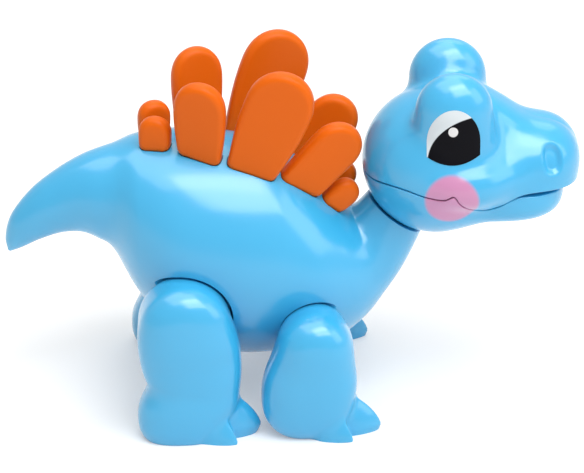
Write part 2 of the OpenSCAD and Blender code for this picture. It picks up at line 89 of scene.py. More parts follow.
def spline(rows: np.ndarray, s: np.ndarray) -> np.ndarray:
    """Smooth curve through a list of rows.

    Args:
        rows: One row of values for each station.
        s: Stations to read, from 0 to the last row's index.

    Returns:
        The interpolated rows, one for each station read.
    """
    n = len(rows) - 1
    i = np.clip(np.floor(s).astype(int), 0, n - 1)
    t = (s - i)[:, None]
    p0, p1, p2, p3 = rows[np.maximum(i - 1, 0)], rows[i], rows[i + 1], rows[np.minimum(i + 2, n)]
    return (2 * p1 + (p2 - p0) * t + (2 * p0 - 5 * p1 + 4 * p2 - p3) * t**2
            + (3 * p1 - p0 - 3 * p2 + p3) * t**3) / 2


def soft_box(p: np.ndarray, centre: Point, size: Point, power: float) -> np.ndarray:
    """Rough signed distance of points to a rounded box."""
    q = np.abs(p - np.array(centre)) / np.array(size)
    return ((q**power).sum(-1) ** (1 / power) - 1) * min(size)


def lobe(p: np.ndarray, centre: Point, size: Point, power: float, inner: float,
         outer: float = 2.5) -> np.ndarray:
    """Rough signed distance to a lobe: outlined in x and z, and pillowed over its two sides.

    Args:
        p: Points to measure.
        centre: Middle of the lobe.
        size: Half sizes of the lobe.
        power: Squareness of the outline.
        inner: Squareness of the pillow towards the body.
        outer: Squareness of the pillow away from the body.

    Returns:
        The distances, less than 0 inside.
    """
    q = np.abs(p - np.array(centre)) / np.array(size)
    flat = (q[..., 0] ** power + q[..., 2] ** power) ** (1 / power)
    bend = np.where(p[..., 1] > centre[1], outer, inner)
    return ((flat**bend + q[..., 1] ** bend) ** (1 / bend) - 1) * min(size)


def turned(p: np.ndarray, centre: Point, angle: float, axes: tuple[int, int]) -> np.ndarray:
    """Points seen from a centre, turned back from the first axis to the second.

    Args:
        p: Points to turn.
        centre: Where they are seen from.
        angle: The turn in degrees.
        axes: The two axes that the turn mixes.

    Returns:
        The turned points, from the centre.
    """
    q = p - np.array(centre)
    c, s = math.cos(math.radians(angle)), math.sin(math.radians(angle))
    i, j = axes
    out = q.copy()
    out[..., i] = c * q[..., i] + s * q[..., j]
    out[..., j] = c * q[..., j] - s * q[..., i]
    return out


def folded(p: np.ndarray) -> np.ndarray:
    """Points with those on the right moved to the same place on the left."""
    return np.stack([p[..., 0], np.abs(p[..., 1]), p[..., 2]], -1)


def join(a: np.ndarray, b: np.ndarray, k: float) -> np.ndarray:
    """Smooth union of two distances over the width k."""
    h = np.maximum(k - np.abs(a - b), 0) / k
    return np.minimum(a, b) - h * h * k / 4


def reach(form: Form, start: np.ndarray, dirs: np.ndarray, far: float,
          steps: int = 34) -> np.ndarray:
    """Distance along rays from inner points to a form's surface, by halving.

    Args:
        form: The form to reach.
        start: Where the rays start, inside the form.
        dirs: Unit directions of the rays.
        far: A distance that is outside the form on every ray.
        steps: How often the range is halved.

    Returns:
        One distance for each ray.
    """
    lo = np.zeros(dirs.shape[:-1])
    hi = np.full(dirs.shape[:-1], far)
    for _ in range(steps):
        m = (lo + hi) / 2
        inside = form(start + dirs * m[..., None]) < 0
        lo, hi = np.where(inside, m, lo), np.where(inside, hi, m)
    return (lo + hi) / 2


def select_only(obj: bpy.types.Object) -> None:
    """Makes one object the only selected one, and the active one.

    Args:
        obj: The object to select.
    """
    bpy.ops.object.select_all(action="DESELECT")
    obj.select_set(True)
    bpy.context.view_layer.objects.active = obj


def shape_points(obj: bpy.types.Object, points: np.ndarray) -> None:
    """Moves a mesh's vertices to points given in millimetres."""
    obj.data.vertices.foreach_set("co", (points.reshape(-1, 3) * MM).astype(np.float32).ravel())
    obj.data.update()


def read_points(obj: bpy.types.Object) -> np.ndarray:
    """A mesh's vertices in millimetres.

    Args:
        obj: The mesh object.

    Returns:
        Its points, one row each.
    """
    co = np.empty(len(obj.data.vertices) * 3, np.float32)
    obj.data.vertices.foreach_get("co", co)
    return co.reshape(-1, 3).astype(float) / MM


def tidy_mesh(obj: bpy.types.Object) -> None:
    """Welds a mesh's seams and poles and turns its normals outwards.

    Args:
        obj: The mesh object.
    """
    select_only(obj)
    bpy.ops.object.mode_set(mode="EDIT")
    bpy.ops.mesh.select_all(action="SELECT")
    bpy.ops.mesh.remove_doubles(threshold=WELD)
    bpy.ops.mesh.dissolve_degenerate(threshold=WELD)
    bpy.ops.mesh.normals_make_consistent(inside=False)
    bpy.ops.object.mode_set(mode="OBJECT")
    bpy.ops.object.shade_smooth_by_angle(angle=SMOOTH_ANGLE)


def sheet(name: str, points: np.ndarray) -> bpy.types.Object:
    """A closed skin over a grid of points.

    Args:
        name: Name of the new object.
        points: Rows by columns by 3, in millimetres. Seams and poles repeat their points.

    Returns:
        The welded object, at the origin.
    """
    rows, columns = points.shape[:2]
    bpy.ops.object.select_all(action="DESELECT")
    bpy.ops.mesh.primitive_grid_add(x_subdivisions=columns - 1, y_subdivisions=rows - 1, size=1)
    obj = bpy.context.object
    obj.name = obj.data.name = name
    shape_points(obj, points)
    tidy_mesh(obj)
    return obj


def bar(name: str, start: Point, end: Point, radius: float, vertices: int) -> bpy.types.Object:
    """A round bar between two points.

    Args:
        name: Name of the new object.
        start: Middle of one end, in millimetres.
        end: Middle of the other end.
        radius: The bar's radius.
        vertices: How many sides it has.

    Returns:
        The new object, at the origin.
    """
    a, b = Vector(start), Vector(end)
    turn = (b - a).to_track_quat("Z", "Y").to_euler()
    bpy.ops.object.select_all(action="DESELECT")
    bpy.ops.mesh.primitive_cylinder_add(
        vertices=vertices, radius=radius * MM, depth=(b - a).length * MM,
        location=(a + b) / 2 * MM, rotation=turn)
    obj = bpy.context.object
    obj.name = obj.data.name = name
    bpy.ops.object.transform_apply(location=True, rotation=True, scale=True)
    return obj


def carve(obj: bpy.types.Object, tools: list[bpy.types.Object],
          operation: str = "DIFFERENCE") -> None:
    """Applies tools to a piece as exact Booleans, and removes the tools.

    Args:
        obj: The piece.
        tools: Closed meshes, applied in order.
        operation: The Boolean's operation.
    """
    for tool in tools:
        mod = obj.modifiers.new("carve", "BOOLEAN")
        mod.operation = operation
        mod.solver = "EXACT"
        mod.object = tool
        select_only(obj)
        bpy.ops.object.modifier_apply(modifier=mod.name)
        bpy.data.objects.remove(tool)


def halve(obj: bpy.types.Object, place: Point, normal: Point) -> None:
    """Cuts away one side of a mesh, and closes the cut.

    Args:
        obj: The mesh object.
        place: A point of the cutting plane, in millimetres.
        normal: The plane's normal, towards what is cut away.
    """
    select_only(obj)
    bpy.ops.object.mode_set(mode="EDIT")
    bpy.ops.mesh.select_all(action="SELECT")
    bpy.ops.mesh.bisect(plane_co=Vector(place) * MM, plane_no=normal, use_fill=True,
                        clear_outer=True, threshold=CUT_WELD)
    bpy.ops.object.mode_set(mode="OBJECT")


def mirror_copy(obj: bpy.types.Object, name: str) -> bpy.types.Object:
    """A copy of a piece on the other side of the midline.

    Args:
        obj: The piece.
        name: Name of the copy.

    Returns:
        The copy, with its own mesh.
    """
    select_only(obj)
    bpy.ops.object.duplicate()
    twin = bpy.context.object
    twin.name = twin.data.name = name
    twin.data.transform(Matrix.Diagonal((1, -1, 1, 1)))
    bpy.ops.object.mode_set(mode="EDIT")
    bpy.ops.mesh.select_all(action="SELECT")
    bpy.ops.mesh.flip_normals()
    bpy.ops.object.mode_set(mode="OBJECT")
    return twin


def install(obj: bpy.types.Object, node: str, body: str,
            material: bpy.types.Material) -> None:
    """Gives a finished piece its material and lets it stand for a CAD node.

    Args:
        obj: The finished piece.
        node: The CAD node that it stands for.
        body: The body that it rides on.
        material: Its material.
    """
    select_only(obj)
    bpy.ops.object.shade_smooth_by_angle(angle=SMOOTH_ANGLE)
    obj.data.materials.clear()
    obj.data.materials.append(material)
    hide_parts(node)
    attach(obj, body)
    LOG.info("%s stands for %s on %s", obj.name, node, body)


class Groups:
    """Shader node groups that several materials share."""

    FLOW_SCALE: float = 34.0  # soft flow marks, some 30 mm apart
    FLOW_DETAIL: float = 2.0
    PEEL_SCALE: float = 620.0  # the mould's fine texture, some 1.6 mm apart
    PEEL_DETAIL: float = 3.0
    PEEL_SPAN: tuple[float, float] = (0.3, 0.7)  # values that span the range of roughness

    @staticmethod
    def _new(name: str, inputs: dict[str, tuple[str, object]],
             outputs: dict[str, str]) -> tuple[bpy.types.NodeTree, bpy.types.Node, bpy.types.Node]:
        """A new group with its sockets.

        Args:
            name: Name of the group.
            inputs: Socket type and default value by socket name.
            outputs: Socket type by socket name.

        Returns:
            The group, its input node and its output node.
        """
        tree = bpy.data.node_groups.new(name, "ShaderNodeTree")
        for key, (kind, value) in inputs.items():
            socket = tree.interface.new_socket(key, in_out="INPUT", socket_type=kind)
            socket.default_value = value
        for key, kind in outputs.items():
            tree.interface.new_socket(key, in_out="OUTPUT", socket_type=kind)
        return tree, tree.nodes.new("NodeGroupInput"), tree.nodes.new("NodeGroupOutput")

    @classmethod
    def moulded(cls) -> bpy.types.NodeTree:
        """Tone, roughness and fine height of a moulded surface.

        Returns:
            The new group.
        """
        inputs = {"Base": ("NodeSocketColor", (0.5, 0.5, 0.5, 1)),
                  "Tone": ("NodeSocketColor", (0.4, 0.4, 0.4, 1)),
                  "Rough Low": ("NodeSocketFloat", 0.2), "Rough High": ("NodeSocketFloat", 0.3)}
        outputs = {"Color": "NodeSocketColor", "Roughness": "NodeSocketFloat",
                   "Height": "NodeSocketFloat"}
        tree, start, end = cls._new("moulded_surface", inputs, outputs)
        new, link = tree.nodes.new, tree.links.new
        place = new("ShaderNodeTexCoord")
        flow = new("ShaderNodeTexNoise")
        flow.inputs["Scale"].default_value = cls.FLOW_SCALE
        flow.inputs["Detail"].default_value = cls.FLOW_DETAIL
        peel = new("ShaderNodeTexNoise")
        peel.inputs["Scale"].default_value = cls.PEEL_SCALE
        peel.inputs["Detail"].default_value = cls.PEEL_DETAIL
        tone = new("ShaderNodeMix")
        tone.data_type = "RGBA"
        gloss = new("ShaderNodeMapRange")
        for key, value in zip(("From Min", "From Max"), cls.PEEL_SPAN):
            gloss.inputs[key].default_value = value
        for noise in (flow, peel):
            link(place.outputs["Object"], noise.inputs["Vector"])
        link(flow.outputs["Fac"], tone.inputs["Factor"])
        link(start.outputs["Base"], tone.inputs["A"])
        link(start.outputs["Tone"], tone.inputs["B"])
        link(peel.outputs["Fac"], gloss.inputs["Value"])
        link(start.outputs["Rough Low"], gloss.inputs["To Min"])
        link(start.outputs["Rough High"], gloss.inputs["To Max"])
        link(tone.outputs["Result"], end.inputs["Color"])
        link(gloss.outputs["Result"], end.inputs["Roughness"])
        link(peel.outputs["Fac"], end.inputs["Height"])
        return tree

    @classmethod
    def spot(cls) -> bpy.types.NodeTree:
        """Mask of an oval spot at the same place on both sides, with a soft edge.

        Returns:
            The new group.
        """
        inputs = {"Centre": ("NodeSocketVector", (0, 0, 0)),
                  "Scale": ("NodeSocketVector", (1, 1, 1)),
                  "Inner": ("NodeSocketFloat", 0.9), "Outer": ("NodeSocketFloat", 1.0)}
        tree, start, end = cls._new("soft_spot", inputs, {"Mask": "NodeSocketFloat"})
        new, link = tree.nodes.new, tree.links.new
        place = new("ShaderNodeTexCoord")
        fold, away, stretch, size = (new("ShaderNodeVectorMath") for _ in range(4))
        fold.operation, away.operation = "ABSOLUTE", "SUBTRACT"
        stretch.operation, size.operation = "MULTIPLY", "LENGTH"
        edge = new("ShaderNodeMapRange")
        edge.interpolation_type = "SMOOTHSTEP"
        edge.inputs["To Min"].default_value = 1
        edge.inputs["To Max"].default_value = 0
        both = new("ShaderNodeSeparateXYZ")
        beside = new("ShaderNodeCombineXYZ")
        whole = new("ShaderNodeSeparateXYZ")
        link(place.outputs["Object"], fold.inputs[0])
        link(fold.outputs["Vector"], both.inputs["Vector"])
        link(place.outputs["Object"], whole.inputs["Vector"])
        link(whole.outputs["X"], beside.inputs["X"])
        link(both.outputs["Y"], beside.inputs["Y"])
        link(whole.outputs["Z"], beside.inputs["Z"])
        link(beside.outputs["Vector"], away.inputs[0])
        link(start.outputs["Centre"], away.inputs[1])
        link(away.outputs["Vector"], stretch.inputs[0])
        link(start.outputs["Scale"], stretch.inputs[1])
        link(stretch.outputs["Vector"], size.inputs[0])
        link(size.outputs["Value"], edge.inputs["Value"])
        link(start.outputs["Inner"], edge.inputs["From Min"])
        link(start.outputs["Outer"], edge.inputs["From Max"])
        link(edge.outputs["Result"], end.inputs["Mask"])
        return tree


@dataclass(frozen=True)
class Spot:
    """An oval patch of colour printed at the same place on both sides, in millimetres."""

    colour: Colour
    centre: Point
    radii: Point
    softness: float
    strength: float = 1.0


@dataclass(frozen=True)
class Finish:
    """A moulded or printed surface. Its bump height and subsurface depth are millimetres."""

    name: str
    base: Colour
    tone: Colour
    rough: tuple[float, float] = (0.2, 0.28)
    coat: float = 0.0
    coat_rough: float = 0.05
    coat_ior: float = 1.5
    subsurface: float = 0.0
    subsurface_depth: float = 1.2
    bump: float = 0.03
    bump_height: float = 0.05
    specular: float = 0.5
    spots: tuple[Spot, ...] = ()

    def build(self, moulded: bpy.types.NodeTree,
              spot: bpy.types.NodeTree) -> bpy.types.Material:
        """Makes the material.

        Args:
            moulded: The shared group of moulded tone, roughness and height.
            spot: The shared group that masks a spot.

        Returns:
            The new material.
        """
        mat = bpy.data.materials.new(self.name)
        mat.use_nodes = True
        tree = mat.node_tree
        new, link = tree.nodes.new, tree.links.new
        shader = tree.nodes["Principled BSDF"]
        surface = new("ShaderNodeGroup")
        surface.node_tree = moulded
        surface.inputs["Base"].default_value = self.base
        surface.inputs["Tone"].default_value = self.tone
        surface.inputs["Rough Low"].default_value = self.rough[0]
        surface.inputs["Rough High"].default_value = self.rough[1]
        colour = surface.outputs["Color"]
        for patch in self.spots:
            mask = new("ShaderNodeGroup")
            mask.node_tree = spot
            mask.inputs["Centre"].default_value = [c * MM for c in patch.centre]
            mask.inputs["Scale"].default_value = [1 / (r * MM) for r in patch.radii]
            mask.inputs["Inner"].default_value = 1 - patch.softness
            mask.inputs["Outer"].default_value = 1
            share = new("ShaderNodeMath")
            share.operation = "MULTIPLY"
            share.inputs[1].default_value = patch.strength
            mix = new("ShaderNodeMix")
            mix.data_type = "RGBA"
            mix.inputs["B"].default_value = patch.colour
            link(mask.outputs["Mask"], share.inputs[0])
            link(share.outputs["Value"], mix.inputs["Factor"])
            link(colour, mix.inputs["A"])
            colour = mix.outputs["Result"]
        bump = new("ShaderNodeBump")
        bump.inputs["Strength"].default_value = self.bump
        bump.inputs["Distance"].default_value = self.bump_height * MM
        link(colour, shader.inputs["Base Color"])
        link(surface.outputs["Roughness"], shader.inputs["Roughness"])
        link(surface.outputs["Height"], bump.inputs["Height"])
        link(bump.outputs["Normal"], shader.inputs["Normal"])
        plain = {"Specular IOR Level": self.specular, "Coat Weight": self.coat,
                 "Coat Roughness": self.coat_rough, "Coat IOR": self.coat_ior,
                 "Subsurface Weight": self.subsurface, "Subsurface Radius": (1, 1, 1),
                 "Subsurface Scale": self.subsurface_depth * MM}
        for key, value in plain.items():
            shader.inputs[key].default_value = value
        return mat


@dataclass(frozen=True)
class Spine:
    """The body's sections, tail tip to neck rim, as the CAD lofts them.

    A section has x, z, half height, half width and tilt. A row of tail shares has the way along
    the tail, its rise, its radius and its tilt. The rump's shares are parts of the way from the
    tail's root to the trunk, and the chest's from the shoulder to the neck. The search for a place
    on the back starts at back_start, clear of the tail's tip.
    """

    trunk: tuple[float, ...] = (-18.0, 46.4, 32.6, 27.0, 0.0)
    shoulder: tuple[float, ...] = (-5.0, 44.5, 31.0, 26.3, 0.0)
    neck: tuple[float, ...] = (29.4, 55.0, 9.4, 9.4, 54.0)
    root: tuple[float, ...] = (-44.0, 56.2, 23.2, 19.952, 0.0)
    tail_length: float = 36.78
    tail_rise: float = 6.1
    tail_drop: float = 11.2
    tail_roundness: float = 0.88
    rump_share: tuple[float, ...] = (0.42, 0.66, 0.79, 0.76, 0.0)
    tail_shares: tuple[tuple[float, ...], ...] = (
        (1, -1, 0.02, 62), (0.957, -0.743, 0.13, 60), (0.866, -0.34, 0.24, 52),
        (0.707, 0.16, 0.335, 38), (0.532, 0.68, 0.425, 22), (0.36, 0.92, 0.54, 8),
        (0.188, 0.86, 0.67, 0))
    chest_shares: tuple[tuple[float, ...], ...] = (
        (0.35, -0.29, 0.22, 0.16, 0.08), (0.6, -0.29, 0.51, 0.48, 0.21),
        (0.77, -0.08, 0.79, 0.78, 0.43), (0.875, 0.3, 0.91, 0.92, 0.7))
    back_start: float = 4.0
    halvings: int = 40

    def rows(self) -> np.ndarray:
        """All sections in order.

        Returns:
            Rows of x, z, half height, half width and tilt.
        """
        x, z, r = self.root[:3]
        tail = [[x - self.tail_length * t,
                 z + up * (self.tail_drop if up < 0 else self.tail_rise),
                 r * s, r * s * self.tail_roundness, tilt] for t, up, s, tilt in self.tail_shares]
        root, trunk = np.array(self.root), np.array(self.trunk)
        shoulder, neck = np.array(self.shoulder), np.array(self.neck)
        rump = root + (trunk - root) * np.array(self.rump_share)
        chest = [shoulder + (neck - shoulder) * np.array(c) for c in self.chest_shares]
        return np.array(tail + [root, rump, trunk, shoulder] + chest + [neck])

    def skin(self, s: np.ndarray, a: np.ndarray) -> np.ndarray:
        """Points on the body.

        Args:
            s: Stations along the sections.
            a: Angles round the section, from the middle of the back.

        Returns:
            Stations by angles by 3.
        """
        row = spline(self.rows(), s)[:, None, :]
        tilt, lift = np.radians(row[..., 4]), row[..., 2] * np.cos(a)
        return np.stack([row[..., 0] - np.sin(tilt) * lift, row[..., 3] * np.sin(a),
                         row[..., 1] + np.cos(tilt) * lift], -1)

    def station(self, x: float, angle: float) -> float:
        """Finds a place on the back.

        Args:
            x: Its place along the body.
            angle: Its angle round the section.

        Returns:
            The station that has this x at this angle.
        """
        lo, hi = self.back_start, float(len(self.rows()) - 1)
        for _ in range(self.halvings):
            mid = (lo + hi) / 2
            ahead = self.skin(np.array([mid]), np.array([angle]))[0, 0, 0] < x
            lo, hi = (mid, hi) if ahead else (lo, mid)
        return lo


@dataclass
class Plate:
    """One back plate of a pair, plugged into a shell.

    It stands at x along the back and at spread from the midline. Its outline is base wide at the
    body and width wide at the share swell of its length. Lean, splay and yaw are degrees.
    """

    number: int
    x: float
    spread: float
    base: float
    width: float
    length: float
    lean: float
    splay: float
    yaw: float
    swell: float
    thickness: float = 5.0
    edge_round: float = 2.1
    corner_round: float = 2.2
    crown: float = 0.15
    sink: float = 0.5
    tip_power: float = 2.4
    wrap: float = 1.02  # angle round the back, over that of its spread on a round trunk
    side_bias: float = 1.6  # crowds the outline's points towards the base
    side_steps: int = 32
    face_rings: tuple[float, ...] = (0.0, 0.25, 0.5, 0.75, 0.92)
    edge_steps: int = 13

    def turn(self) -> np.ndarray:
        """Rotation from the plate's own frame to the left side's."""
        return np.array(Matrix.Rotation(math.radians(self.yaw), 3, "Z")
                        @ Matrix.Rotation(math.radians(self.lean), 3, "Y")
                        @ Matrix.Rotation(math.radians(-self.splay), 3, "X"))

    def leaf(self, v: np.ndarray) -> np.ndarray:
        """Half widths of the outline.

        Args:
            v: Heights above the body.

        Returns:
            The half width at each height.
        """
        t = v / self.length
        bulge = np.sin(np.pi / 2 * np.clip(t, 0, self.swell) / self.swell)
        low = self.base + (self.width - self.base) * bulge
        top = np.clip((t - self.swell) / (1 - self.swell), 0, 1)
        return np.where(t < self.swell, low, self.width * np.sqrt(1 - top**self.tip_power)) / 2

    def seat(self, spine: Spine, skin: BVHTree) -> tuple[np.ndarray, float, float]:
        """Where the plate meets the body.

        Args:
            spine: The body's sections.
            skin: A search tree of the closed body.

        Returns:
            The plate's origin, and the heights of its rear and front base corners.
        """
        angle = math.asin(self.spread / spine.trunk[3]) * self.wrap
        origin = spine.skin(np.array([spine.station(self.x, angle)]), np.array([angle]))[0, 0]
        turn = self.turn()
        heights = []
        for u in (-self.base / 2, self.base / 2):
            start = origin + turn @ np.array([u, self.thickness / 2, self.length * 2])
            hit = skin.ray_cast(Vector(start) * MM, Vector(turn @ np.array([0, 0, -1.0])))[0]
            heights.append(float((turn.T @ (np.array(hit) / MM - origin))[2]) - self.sink)
        return origin, heights[0], heights[1]

    def outline(self, low: tuple[float, float], grow: float) -> np.ndarray:
        """Closed outline in the plate's own plane, from one base corner over the tip to the other.

        Args:
            low: Heights of the rear and front base corners.
            grow: How far the outline is moved outwards.

        Returns:
            Rows of place along the base and height.
        """
        rise = np.linspace(0, 1, self.side_steps, endpoint=False) ** self.side_bias
        waist = self.length * self.swell
        quarter = np.linspace(0, np.pi / 2, self.side_steps)
        above = waist + (self.length - waist) * np.sin(quarter) ** (2 / self.tip_power)
        sides = []
        for side, corner in ((1, low[1]), (-1, low[0])):
            v = np.concatenate([corner + (waist - corner) * rise, above])
            near = np.clip(self.corner_round - (v - corner), 0, self.corner_round)
            tuck = self.corner_round - np.sqrt(self.corner_round**2 - near**2)
            sides.append(np.stack([side * (self.leaf(v) - tuck), v], -1))
        line = np.concatenate([sides[0], sides[1][-2::-1]])
        if grow:
            step = np.roll(line, -1, 0) - np.roll(line, 1, 0)
            out = np.stack([step[:, 1], -step[:, 0]], -1)
            line = line + grow * out / np.linalg.norm(step, axis=1)[:, None]
        return line

    def build(self, spine: Spine, skin: BVHTree, side: Side,
              grow: float = 0.0) -> bpy.types.Object:
        """Makes the plate, or with grow the tool that cuts its socket.

        Args:
            spine: The body's sections.
            skin: A search tree of the closed body.
            side: The side that it stands on.
            grow: Room that the socket has round the plate.

        Returns:
            The new object.
        """
        origin, rear, front = self.seat(spine, skin)
        line = self.outline((rear, front), grow)
        line = np.concatenate([line, line[:1]])
        middle = np.array([0, self.length / 2])
        out = line - middle
        size = np.linalg.norm(out, axis=1)[:, None]
        half = self.thickness / 2 + grow
        rows = []
        face = [(k, half + self.crown * (1 - k * k)) for k in self.face_rings]
        for k, y in face:
            rows.append((middle + out * (1 - self.edge_round / size) * k, y))
        for a in np.linspace(90, -90, self.edge_steps):
            bend = math.radians(a)
            inset = self.edge_round * (1 - math.cos(bend))
            flat = math.copysign(half - self.edge_round, a) * (a != 0)
            y = math.sin(bend) * self.edge_round + flat
            rows.append((middle + out * (1 - inset / size), y))
        for k, y in face[::-1]:
            rows.append((middle + out * (1 - self.edge_round / size) * k, -y))
        local = np.array([[(q[0], y, q[1]) for q in ring] for ring, y in rows])
        world = origin + local @ self.turn().T
        world[..., 1] *= side.value
        return sheet(f"plate_{side.word}_{self.number}_leaf", world)


@dataclass
class Body:
    """Trunk, tail and neck: two half shells that meet on the midline.

    A hip has the axle's x and z, and the thigh's radius.
    """

    spine: Spine
    hips: tuple[tuple[float, float, float], ...]
    columns: int = 176
    spine_rows: int = 210
    path_steps: int = 2000
    row_room: float = 0.02  # least way between two steps, so that no rows meet
    tip_push: float = 0.01  # the tip's way past the first row, as a share of that to tip_row
    tip_row: int = 6
    cup_radius: float = 21.16
    cup_rim: float = 7.7
    cup_rings: tuple[float, ...] = (9.0, 8.4, 7.7, 6.4, 5.0, 3.4, 1.7, 0.0)
    seat_gap: float = 0.3
    seat_room: float = 0.8
    seat_steps: int = 14
    bore: float = 4.05
    cap_room: float = 6.9
    boss_end: float = 10.5
    socket_gap: float = 0.22
    leg_inner: float = 21.2
    leg_half: float = 8.4
    thigh_swell: float = 0.6
    thigh_power: float = 8.0
    far: float = 40.0  # reach of the hip tools outwards
    tool_excess: float = 2.0  # and past the midline

    def skull(self) -> np.ndarray:
        """Finds the ball that sits in the neck's cup.

        Returns:
            Its centre.
        """
        x, z = self.spine.neck[:2]
        return np.array([x, 0, z]) + self.axis() * math.sqrt(self.cup_radius**2 - self.cup_rim**2)

    def axis(self) -> np.ndarray:
        """Direction of the neck, from the body to the head."""
        tilt = math.radians(self.spine.neck[4])
        return np.array([math.cos(tilt), 0, math.sin(tilt)])

    def whole(self) -> bpy.types.Object:
        """The closed body, with its neck's cup, before it is parted.

        Returns:
            The new object.
        """
        last = len(self.spine.rows()) - 1
        fine = np.linspace(0, last, self.path_steps)
        path = self.spine.skin(fine, np.array([0, np.pi]))
        gap = np.linalg.norm(np.diff(path, axis=0), axis=-1).max(1) + self.row_room
        length = np.concatenate([[0], np.cumsum(gap)])
        s = np.interp(np.linspace(0, length[-1], self.spine_rows), length, fine)
        a = np.linspace(0, 2 * np.pi, self.columns + 1)
        grid = self.spine.skin(s, a)
        end, inner = (grid[k:k + 1].mean(1, keepdims=True) for k in (0, self.tip_row))
        rows = [np.repeat(end - (inner - end) * self.tip_push, self.columns + 1, 1), grid]
        x, z, rim_radius = self.spine.neck[:3]
        rim = grid[-1] - np.array([x, 0, z])
        ball, axis = self.skull(), self.axis()
        for r in self.cup_rings:
            drop = math.sqrt(self.cup_radius**2 - min(r, self.cup_rim) ** 2)
            rows.append((ball - axis * drop + rim * (r / rim_radius))[None])
        return sheet("body_whole", np.concatenate(rows))

    def build(self, obj: bpy.types.Object, skin: BVHTree,
              plates: list[Plate]) -> dict[Side, bpy.types.Object]:
        """Makes both shells.

        Args:
            obj: The closed body, which becomes the left shell.
            skin: A search tree of the closed body.
            plates: The plates whose sockets are cut in the back.

        Returns:
            The shells by side.
        """
        halve(obj, (0, 0, 0), (0, -1, 0))
        tools = [plate.build(self.spine, skin, Side.LEFT, self.socket_gap) for plate in plates]
        tools += [self.hip_tool(*hip) for hip in self.hips]
        carve(obj, tools)
        tidy_mesh(obj)
        obj.name = obj.data.name = "body_left_shell"
        return {Side.LEFT: obj, Side.RIGHT: mirror_copy(obj, "body_right_shell")}

    def hip_tool(self, x: float, z: float, thigh: float) -> bpy.types.Object:
        """A turned tool for a hip: room for the axle's cap, the bore and the thigh's seat.

        Args:
            x: Place of the axle along the body.
            z: Height of the axle.
            thigh: Radius of the thigh.

        Returns:
            The closed tool, on the left side.
        """
        mid, power, wall = self.leg_half, self.thigh_power, thigh + self.seat_room
        depth = np.concatenate([[-self.seat_gap], np.linspace(0, 1, self.seat_steps) ** 2 * mid])
        share = (mid - depth) / (mid + self.thigh_swell + self.seat_room)
        wide = wall * (1 - share**power) ** (1 / power)
        floor, far, near = self.leg_inner + depth, self.leg_inner + self.far, -self.tool_excess
        radii = np.concatenate([[0, self.cap_room, self.cap_room, self.bore, self.bore],
                                wide, [wall, 0]])
        across = np.concatenate([[near, near, self.boss_end, self.boss_end, floor[0]],
                                 floor, [far, far]])
        a = np.linspace(0, 2 * np.pi, self.columns + 1)
        a[-1] = 0
        points = [np.stack([x + r * np.cos(a), np.full_like(a, y), z + r * np.sin(a)], -1)
                  for r, y in zip(radii, across)]
        return sheet("hip_tool", np.array(points))

    @staticmethod
    def tree(obj: bpy.types.Object) -> BVHTree:
        """A search tree of a mesh, in metres."""
        faces = [p.vertices for p in obj.data.polygons]
        return BVHTree.FromPolygons([v.co for v in obj.data.vertices], faces)


